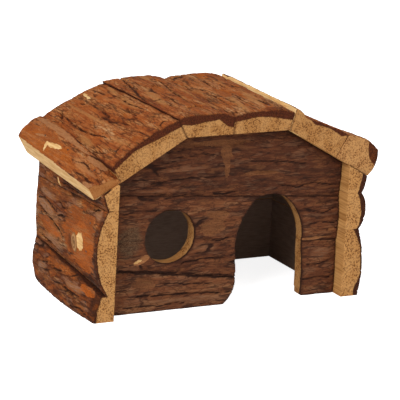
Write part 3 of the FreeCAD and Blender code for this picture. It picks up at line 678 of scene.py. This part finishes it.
def bark_begins(face, look, kinds, world_z):
    """Height at which the bark begins: the look's line, but with bark on all that faces out, little of it
    on peeled patches, and nothing else along the long edges."""
    line = wood_line(look, face.a, face.top)
    line = line + np.minimum(face.top - LEAST_BARK - line, 0) * face.on_top
    line = line + np.clip(face.top - PEELED_BARK - line, 0, None) * kinds["peel"]
    rolled = (np.abs(face.normals[:, 1]) > 0.6) & (world_z > 1) & (face.below < ROLLED_BARK)
    rolled &= (kinds["sawn"] < 0.5) & (look.material != "front")
    return line - NO_WOOD * rolled


def above_wood(face, line, bare, seed):
    """How far each point lies above the wood's line, and below 0 in wood and where wood is bare."""
    level = face.h + (face.top - face.h) * face.on_top
    bark = level - line + 0.35 * layers(face.g / 9, face.a / 3, seed + 9)
    bark = np.where(bare > 0.5, np.minimum(bark, (0.5 - bare) * 6), bark)
    return np.clip(bark, -4, 4)


def in_room(face, world_x, world_y):
    """1 on the inner faces round the room, and 0 elsewhere, with an even fade in front; these faces get
    painted shade in the wood's colour.
    """
    within = smooth(world_y, FRONT_WALL - 10, FRONT_WALL - 6) * (world_y < BACK_WALL + 1)
    within *= np.abs(world_x) < SIDE_WALL + 1
    return smooth(face.h, 1.2, 0.4) * smooth(-face.normals[:, 2], 0.3, 0.7) * within


def displaced(face, depth, worn, own, seed, look):
    """The points moved in by the bark's relief and worn edges, and by the saw's waves on the ends."""
    ragged = 1 + 0.9 * noise(face.g / 9, face.a / 30, seed + 6)
    relief = (depth + look.wear * worn * ragged) * np.clip(1 - face.below / RELIEF_REACH, 0, 1)
    relief *= smooth(face.nearest_head(own), *HEAD_REACH)
    sawn = 0.22 * layers(face.g / 18, face.a / 14 + face.h / 9, seed + 8) - 0.22
    moved = face.points + face.normals * (sawn * (1 - face.on_top) * face.on_end)[:, None]
    moved[:, 2] -= relief
    return moved


def write_fields(mesh, fields, own_place):
    """Keeps each field at the mesh's points under its name, for the materials."""
    for key, value in fields.items():
        layer = mesh.attributes.new(key, "FLOAT", "POINT")
        layer.data.foreach_set("value", value.astype(np.float32))
    layer = mesh.attributes.new("own", "FLOAT_VECTOR", "POINT")
    layer.data.foreach_set("vector", own_place.astype(np.float32).ravel())


def timber(number, name, look):
    """The detailed piece that stands for one timber of the CAD model."""
    setting = SETTINGS[look.setting]
    own = np.array(to_own_frame(setting))
    back = np.array(to_own_frame(setting).inverted())
    mesh, tree = solid_of(name, setting)
    fine = finely_divided(mesh)
    face = Surface(tree, *on_solid(tree, read_points(fine)))
    world_x, world_y, world_z = turned(face.points, back).T / MM
    seed = FIRST_SEED + SEEDS_OF_ONE * number

    depth, dark, tone, fissure, kinds = bark_of(face.g, face.a, seed, look)
    knot = knot_of(face.g, face.a, look)
    worn = smooth(face.to_edge() + 1.2 * noise(face.g / 6, face.a / 4, seed + 5), WEAR_REACH, 0.0)
    moved = displaced(face, round_knot(depth, knot), worn, own, seed, look)
    line = bark_begins(face, look, kinds, world_z)
    # Stains are the only patches on the end faces.
    for kind in KINDS:
        if kind != "stain":
            kinds[kind] *= np.abs(face.normals[:, 0]) < 0.7

    # The skin is the bark's weathered face, and it lies in the fissures too. A cut edge has none, except
    # on a timber that is mostly calm.
    skin = smooth(face.normals[:, 2], 0.15, 0.5) * smooth(face.below, 2.5, 0.8)
    skin = np.maximum(skin, smooth(fissure, 0.1, 0.5))
    write_fields(fine, {
        "bark": above_wood(face, line, kinds["bare"], seed),
        "skin": np.maximum(skin, look.calm > 0.5),
        # Worn edges are darkened as well, as painted shade in the seams between the timbers, where the
        # timber is not calm.
        "dark": np.maximum(dark, 0.4 * worn * (look.calm < 0.1)),
        "tone": tone,
        "peel": kinds["peel"],
        "flake": kinds["flake"],
        "bare": np.maximum(kinds["bare"], kinds["sawn"] * (1 - face.on_top)),
        "tan": kinds["tan"],
        "lichen": kinds["lichen"],
        "stain": kinds["stain"] * face.on_end,
        "knot": np.clip(knot, 0, 3),
        "end": face.on_end,
        # Painted shade: the roof planks' end faces darken near their sides, in the joints between the
        # planks.
        "joint": smooth(face.side_reach(), 1.2, 0.3) * (look.material == "roof"),
        "ring": np.hypot(face.a - face.a.mean() - PITH[0], face.h - PITH[1]),
        "inner": in_room(face, world_x, world_y),
    }, face.points + OWN_STEP * number)

    world = np.clip(turned(moved, back), np.array(cad_box[0]), np.array(cad_box[1]))
    fine.vertices.foreach_set("co", world.astype(np.float32).ravel())
    fine.polygons.foreach_set("use_smooth", np.ones(len(fine.polygons), bool))
    fine.update()
    piece = bpy.data.objects.new(name.replace("slab", "bark_slab").replace("plank", "bark_plank"), fine)
    bpy.context.scene.collection.objects.link(piece)
    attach(piece, BODY)
    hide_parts(name)
    return piece


# ------------------------------------------------------------------------------------------ brads
OVER_SHANK = 0.8 * MM      # more than the radius of a brad's shank and less than that of its head


def islands(grid):
    """The points of each separate solid in a mesh."""
    left = set(grid.verts)
    while left:
        island, edge = set(), {left.pop()}
        while edge:
            island |= edge
            edge = {e.other_vert(v) for v in edge for e in v.link_edges} - island
        left -= island
        yield np.array([v.co for v in island])


def brad_heads():
    """The middle of each brad's head, in metres."""
    grid = bmesh.new()
    grid.from_mesh(frame["nodes"]["brads"].data)
    bmesh.ops.remove_doubles(grid, verts=grid.verts, dist=1e-6)
    heads = []
    for places in islands(grid):
        middle = places.mean(0)
        axis = np.linalg.svd(places - middle)[2][0]
        along = (places - middle) @ axis
        for side in (-1, 1):
            end = places[along * side > (along * side).max() - 1e-4]
            if np.linalg.norm(end - end.mean(0), axis=1).max() > OVER_SHANK:
                heads.append(end.mean(0))
    grid.free()
    return np.array(heads)


# -------------------------------------------------------------------------------------- materials
# The colours of one group of timbers: five tones of bark from dark to light, its cracks, the bark that a
# saw has cut, the layer under peeled bark, two tones of wood, and light flakes.
Palette = namedtuple("Palette", "bark crack cut peel wood flake")
PALETTES = {
    "roof": Palette(bark=("#632e11", "#83401a", "#965023", "#a66738", "#b38459"), crack="#3a1a0b",
                    cut="#562616", peel="#a5571f", wood=("#784820", "#ae7b44"), flake="#a8733f"),
    "eave": Palette(bark=("#5c2a10", "#7e3d19", "#924e22", "#a36636", "#b08055"), crack="#38190b",
                    cut="#673415", peel="#a4561c", wood=("#80502a", "#b98650"), flake="#a9744a"),
    "wall": Palette(bark=("#4a2410", "#613117", "#78421f", "#8e582e", "#a27a52"), crack="#2c170b",
                    cut="#422016", peel="#ab561a", wood=("#855427", "#be8a50"), flake="#936f58"),
    # The front wall's colours are darker throughout than the other walls'.
    "front": Palette(bark=("#3e2317", "#4e2b1b", "#5b331f", "#6d4027", "#805639"), crack="#2a1710",
                     cut="#3e2017", peel="#774a2c", wood=("#754925", "#a5723f"), flake="#7c5840"),
}
BARK_STOPS = (0.10, 0.34, 0.55, 0.76, 1.0)       # where the five tones of bark lie on the ramp

# Pairs of colours that all palettes share.
LICHEN = ("#3f2b1e", "#6b543c")
TAN_BARK = ("#a9744a", "#94603a")
BARE_WOOD = ("#e0b980", "#c6975c")
# Painted shade: the inner faces round the room are a greyer, darker brown than their sawn wood.
SHADED_INNER_FACE = ("#8a7060", "#775e4e")
KNOT_WOOD = ("#805532", "#b08354")
STEEL = ("#4c392b", "#2e1d14")
FLOOR = ("#f4f4f4", "#f7f7f7")

KNOT_MIDDLE = "#5f3d26"
CUT_FIBRE = "#5e3517"
HONEY_WOOD = "#c7965d"
STAINED_WOOD = "#8f5426"


def colour(code):
    """A colour as it looks on a screen, as the linear values a shader takes."""
    parts = [int(code[k:k + 2], 16) / 255 for k in (1, 3, 5)]
    return [p / 12.92 if p <= 0.04045 else ((p + 0.055) / 1.055) ** 2.4 for p in parts] + [1.0]


class Nodes:
    """Short names for the nodes that the materials are built from."""

    def __init__(self, name):
        self.material = bpy.data.materials.new(name)
        self.material.use_nodes = True
        self.tree = self.material.node_tree
        self.tree.nodes.clear()

    def add(self, kind, inputs, **settings):
        made = self.tree.nodes.new("ShaderNode" + kind)
        for key, value in settings.items():
            setattr(made, key, value)
        for key, value in inputs.items():
            if isinstance(value, bpy.types.NodeSocket):
                self.tree.links.new(value, made.inputs[key])
            else:
                made.inputs[key].default_value = value
        return made

    def number(self, name):
        return self.add("Attribute", {}, attribute_name=name).outputs["Fac"]

    def grained(self, vector, along, across):
        """The vector scaled along the grain and across it."""
        inputs = {"Vector": vector, "Scale": (along, across, across)}
        return self.add("Mapping", inputs).outputs["Vector"]

    def noise(self, vector, detail=4.0, rough=0.55):
        inputs = {"Vector": vector, "Scale": 1.0, "Detail": detail, "Roughness": rough}
        return self.add("TexNoise", inputs).outputs["Fac"]

    def spots(self, vector, output="Distance", feature="F1"):
        return self.add("TexVoronoi", {"Vector": vector, "Scale": 1.0}, feature=feature).outputs[output]

    def warped(self, vector, along, across, amount):
        """The vector scaled along the grain and across it, and pushed about by noise."""
        push = self.add("TexNoise", {"Vector": self.grained(vector, 0.10, 0.30), "Scale": 1.0})
        inputs = {0: push.outputs["Color"], 1: (amount,) * 3, 2: self.grained(vector, along, across)}
        return self.add("VectorMath", inputs, operation="MULTIPLY_ADD").outputs["Vector"]

    def maths(self, operation, *values):
        return self.add("Math", dict(enumerate(values)), operation=operation).outputs[0]

    def times(self, first, second):
        return self.maths("MULTIPLY", first, second)

    def frayed(self, value, layer, amount):
        """The value with a layer of noise laid on it."""
        return self.maths("MULTIPLY_ADD", self.maths("SUBTRACT", layer, 0.5), amount, value)

    def between(self, value, low, high, to_low=0.0, to_high=1.0):
        inputs = {"Value": value, "From Min": low, "From Max": high, "To Min": to_low, "To Max": to_high}
        return self.add("MapRange", inputs, interpolation_type="SMOOTHSTEP").outputs["Result"]

    def mix(self, share, first, second):
        """From the first colour to the second, each a socket or a code."""
        tints = [colour(tint) if isinstance(tint, str) else tint for tint in (first, second)]
        inputs = {0: share, 6: tints[0], 7: tints[1]}
        return self.add("Mix", inputs, data_type="RGBA").outputs[2]

    def ramp(self, share, stops):
        made = self.add("ValToRGB", {"Fac": share})
        ramp = made.color_ramp
        while len(ramp.elements) < len(stops):
            ramp.elements.new(1.0)
        for element, (place, code) in zip(ramp.elements, stops):
            element.position = place
            element.color = colour(code)
        return made.outputs["Color"]


class Grain:
    """The patterns that bark and wood share, in each timber's own place."""

    def __init__(self, n):
        self.own = n.add("Attribute", {}, attribute_name="own").outputs["Vector"]
        self.fine = n.noise(n.grained(self.own, 0.12, 0.9), 5.0, 0.65)
        self.streak = n.noise(n.grained(self.own, 0.045, 0.40), 4.0, 0.6)
        self.broad = n.noise(n.grained(self.own, 0.03, 0.10), 3.0, 0.5)
        self.grit = n.noise(n.grained(self.own, 0.8, 1.6), 3.0, 0.6)
        scaly = n.warped(self.own, 0.11, 0.42, 1.6)
        self.scale_tone = n.spots(scaly, "Color")
        self.scale_edge = n.spots(scaly, feature="DISTANCE_TO_EDGE")


def weathered_bark(n, grain, palette):
    """Plates in several tones, blushes, fine lines along the grain, dark edges of scales that are partly
    painted shade, and lichen.
    """
    tone = n.number("tone")
    for layer, share in ((grain.fine, 0.6), (grain.streak, 0.9), (grain.broad, 0.9)):
        tone = n.frayed(tone, layer, share)
    tone = n.frayed(tone, grain.scale_tone, 0.22)
    bark = n.ramp(tone, list(zip(BARK_STOPS, palette.bark)))
    blush = n.noise(n.grained(grain.own, 0.05, 0.17), 3.0, 0.6)
    bark = n.mix(n.between(blush, 0.54, 0.64, 0.0, 0.42), bark, palette.peel)
    bark = n.mix(n.between(blush, 0.47, 0.38, 0.0, 0.34), bark, palette.flake)
    lines = n.noise(n.grained(grain.own, 0.026, 0.19), 3.0, 0.55)
    lines = n.between(n.maths("ABSOLUTE", n.maths("SUBTRACT", lines, 0.5)), 0.045, 0.01)
    lines = n.times(lines, n.between(blush, 0.56, 0.46))
    bark = n.mix(n.times(lines, 0.75), bark, palette.crack)
    # The scales' edges are darkened: partly the bark's own colour, partly painted shade of their small
    # ledges.
    scale_rim_shade = n.times(n.between(grain.scale_edge, 0.10, 0.02), n.between(grain.broad, 0.36, 0.56, 0.1, 0.65))
    bark = n.mix(scale_rim_shade, bark, palette.bark[0])
    lichen = n.mix(n.between(grain.grit, 0.42, 0.6), *LICHEN)
    return n.mix(n.times(n.number("lichen"), 0.7), bark, lichen)


def peeled_bark(n, grain, palette):
    """The bark's inner layer, with rests of the outer one on it."""
    pale = n.mix(0.3, palette.peel, palette.bark[4])
    peel = n.mix(n.between(grain.streak, 0.45, 0.65), palette.peel, pale)
    peel = n.mix(n.between(grain.broad, 0.42, 0.62, 0.0, 0.5), peel, palette.bark[1])
    peel = n.mix(n.between(grain.fine, 0.52, 0.40, 0.0, 0.35), peel, palette.bark[0])
    return n.mix(n.between(grain.grit, 0.53, 0.64, 0.0, 0.6), peel, palette.bark[0])


def bark_colour(n, grain, palette):
    """Bark with its patches and dark cracks, and its inner layers where it is cut."""
    bark = weathered_bark(n, grain, palette)
    torn = n.frayed(n.number("peel"), grain.fine, 1.3)
    bark = n.mix(n.between(torn, 0.42, 0.62, 0.0, 0.9), bark, peeled_bark(n, grain, palette))
    flake = n.mix(n.between(grain.fine, 0.35, 0.65), palette.flake, palette.bark[3])
    bark = n.mix(n.times(n.number("flake"), 0.7), bark, flake)
    tan = n.mix(n.between(grain.fine, 0.35, 0.65), *TAN_BARK)
    bark = n.mix(n.times(n.between(n.number("tan"), 0.3, 0.7), 0.85), bark, tan)
    bark = n.mix(n.between(n.number("dark"), 0.05, 0.7, 0.0, 0.95), bark, palette.crack)
    cut = n.mix(n.between(grain.fine, 0.40, 0.68), palette.crack, palette.cut)
    cut = n.mix(n.between(grain.grit, 0.50, 0.66, 0.0, 0.25), cut, palette.peel)
    return n.mix(n.number("skin"), cut, bark)


def wood_colour(n, grain, palette):
    """Wood with rings, and with long fibres that show as specks where they are cut across."""
    mottle = n.noise(n.grained(grain.own, 0.03, 0.85), 3.0, 0.6)
    wood = n.mix(n.between(mottle, 0.34, 0.60, 0.35), *palette.wood)
    rings = n.maths("MULTIPLY_ADD", n.number("ring"), 4.6, n.times(grain.broad, 9.0))
    rings = n.between(n.maths("SINE", rings), 0.2, 1.0, 0.0, 0.5)
    wood = n.mix(rings, wood, palette.wood[0])
    fibre = n.between(n.spots(n.grained(grain.own, 0.05, 0.62)), 0.52, 0.26)
    fibre = n.times(fibre, n.between(n.number("end"), 0.2, 0.8, 0.15, 0.9))
    wood = n.mix(fibre, wood, CUT_FIBRE)
    wood = n.mix(n.between(grain.broad, 0.40, 0.62, 0.0, 0.35), wood, HONEY_WOOD)
    bare = n.mix(n.between(grain.streak, 0.35, 0.65), *BARE_WOOD)
    wood = n.mix(n.between(n.number("bare"), 0.3, 0.7), wood, bare)
    wood = n.mix(n.times(n.number("stain"), 0.75), wood, STAINED_WOOD)
    # The inner faces round the room get a greyer, darker brown: painted shade of the room on its sawn
    # wood.
    inner = n.mix(n.between(grain.fine, 0.3, 0.7), *SHADED_INNER_FACE)
    return n.mix(n.number("inner"), wood, inner)


def with_knot(n, grain, surface):
    """The surface with its knot: pale wood in rings round a dark middle."""
    knot = n.number("knot")
    turns = n.maths("SINE", n.maths("MULTIPLY_ADD", knot, 15.0, n.times(grain.broad, 6.0)))
    wood = n.mix(n.between(turns, -1.0, 1.0), *KNOT_WOOD)
    wood = n.mix(n.between(knot, 0.42, 0.12), wood, KNOT_MIDDLE)
    return n.mix(n.between(knot, 1.08, 0.98), surface, wood)


def timber_material(name, palette):
    n = Nodes(name)
    grain = Grain(n)
    is_bark = n.between(n.frayed(n.number("bark"), grain.fine, 2.0), -0.4, 0.4)
    surface = n.mix(is_bark, wood_colour(n, grain, palette), bark_colour(n, grain, palette))
    # Painted shade in the joints between the roof planks, in the crack colour.
    surface = n.mix(n.times(n.number("joint"), 0.8), surface, palette.crack)
    surface = with_knot(n, grain, surface)

    scales = n.maths("MULTIPLY_ADD", n.between(grain.scale_edge, 0.0, 0.16), 0.5, grain.fine)
    rough_height = n.maths("MULTIPLY_ADD", grain.grit, 0.5, scales)
    height = n.mix(is_bark, n.times(grain.fine, 0.35), rough_height)
    bump = n.add("Bump", {"Height": height, "Strength": 0.7, "Distance": 0.8 * MM}).outputs["Normal"]
    rough = n.between(is_bark, 0.0, 1.0, 0.68, 0.86)
    shader = n.add("BsdfPrincipled", {"Base Color": surface, "Roughness": rough, "Normal": bump})
    shader.inputs["Specular IOR Level"].default_value = 0.12
    n.add("OutputMaterial", {"Surface": shader.outputs[0]})
    return n.material


def steel_material():
    n = Nodes("brad_steel")
    place = n.add("TexCoord", {}).outputs["Object"]
    stain = n.between(n.noise(n.grained(place, 900, 900)), 0.35, 0.7)
    rough = n.between(stain, 0, 1, 0.45, 0.75)
    shader = n.add("BsdfPrincipled", {"Base Color": n.mix(stain, *STEEL), "Roughness": rough})
    shader.inputs["Metallic"].default_value = 0.5
    n.add("OutputMaterial", {"Surface": shader.outputs[0]})
    return n.material


def floor_material():
    """A white floor that shows the house's shadow, and plain white where nothing shades it."""
    n = Nodes("floor")
    seen = n.add("LightPath", {}).outputs["Is Camera Ray"]
    place = n.add("TexCoord", {}).outputs["Object"]
    matt = n.add("BsdfDiffuse", {"Color": n.mix(n.noise(n.grained(place, 3, 3)), *FLOOR)})
    glow = n.add("Emission", {"Color": (1, 1, 1, 1), "Strength": n.times(seen, 0.86)})
    both = n.add("AddShader", {0: matt.outputs[0], 1: glow.outputs[0]})
    n.add("OutputMaterial", {"Surface": both.outputs[0]})
    return n.material


# ----------------------------------------------------------------------------- camera, light, floor
AZIMUTH, ELEVATION, ROLL = math.radians(-28.683), math.radians(15.391), math.radians(3.241)
CAMERA_TARGET = Vector((2.834, -5.281, 72.651)) * MM
CAMERA_DISTANCE = 2.1676                 # metres from the target
LAMP_TARGET = Vector((0, 0, 0.07))       # near the middle of the house
SURROUNDING_LIGHT = 0.55
BACKDROP_LIGHT = 1.0                     # as the camera sees it
FLOOR_WIDTH = 40                         # metres


def add_camera():
    data = bpy.data.cameras.new("camera")
    data.lens = 240.5
    data.sensor_width = 36.0
    data.clip_end = 50.0
    camera = bpy.data.objects.new("camera", data)
    bpy.context.scene.collection.objects.link(camera)
    turn = (Matrix.Rotation(AZIMUTH, 4, "Z") @ Matrix.Rotation(math.pi / 2 - ELEVATION, 4, "X")
            @ Matrix.Rotation(ROLL, 4, "Z"))
    camera.matrix_world = (Matrix.Translation(CAMERA_TARGET) @ turn
                           @ Matrix.Translation((0, 0, CAMERA_DISTANCE)))
    bpy.context.scene.camera = camera


def add_lamp(name, place, size, power):
    """A square lamp that shines at the house."""
    data = bpy.data.lights.new(name, "AREA")
    data.size = size
    data.energy = power
    lamp = bpy.data.objects.new(name, data)
    bpy.context.scene.collection.objects.link(lamp)
    lamp.location = place
    lamp.rotation_euler = (LAMP_TARGET - Vector(place)).to_track_quat("-Z", "Y").to_euler()


def add_world():
    """A plain white world, which lights the house less than the camera sees it."""
    world = bpy.data.worlds.new("studio")
    bpy.context.scene.world = world
    world.use_nodes = True
    tree = world.node_tree
    seen = tree.nodes.new("ShaderNodeLightPath").outputs["Is Camera Ray"]
    strength = tree.nodes.new("ShaderNodeMapRange")
    strength.inputs["To Min"].default_value = SURROUNDING_LIGHT
    strength.inputs["To Max"].default_value = BACKDROP_LIGHT
    tree.links.new(seen, strength.inputs["Value"])
    background = tree.nodes["Background"]
    background.inputs["Color"].default_value = (1, 1, 1, 1)
    tree.links.new(strength.outputs[0], background.inputs["Strength"])


def add_floor():
    bpy.ops.mesh.primitive_plane_add(size=FLOOR_WIDTH)
    floor = bpy.context.object
    floor.name = "floor"
    floor.data.materials.append(floor_material())
    floor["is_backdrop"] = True


# ------------------------------------------------------------------------------------------- build
BODY = next(iter(frame["bodies"]))
HEADS = brad_heads()

add_camera()
add_world()
add_floor()
add_lamp("key", place=(-1.6, -1.0, 1.7), size=1.2, power=42)
add_lamp("fill", place=(1.4, -1.8, 1.0), size=1.6, power=14)
materials = {name: timber_material("timber_" + name, palette) for name, palette in PALETTES.items()}
for number, (name, look) in enumerate(LOOKS.items()):
    piece = timber(number, name, look)
    piece.data.materials.append(materials[look.material])
frame["nodes"]["brads"].data.materials.clear()
frame["nodes"]["brads"].data.materials.append(steel_material())

bpy.context.scene.view_settings.view_transform = "Standard"
[[list(corner) for corner in box] for box in (cad_box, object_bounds())]
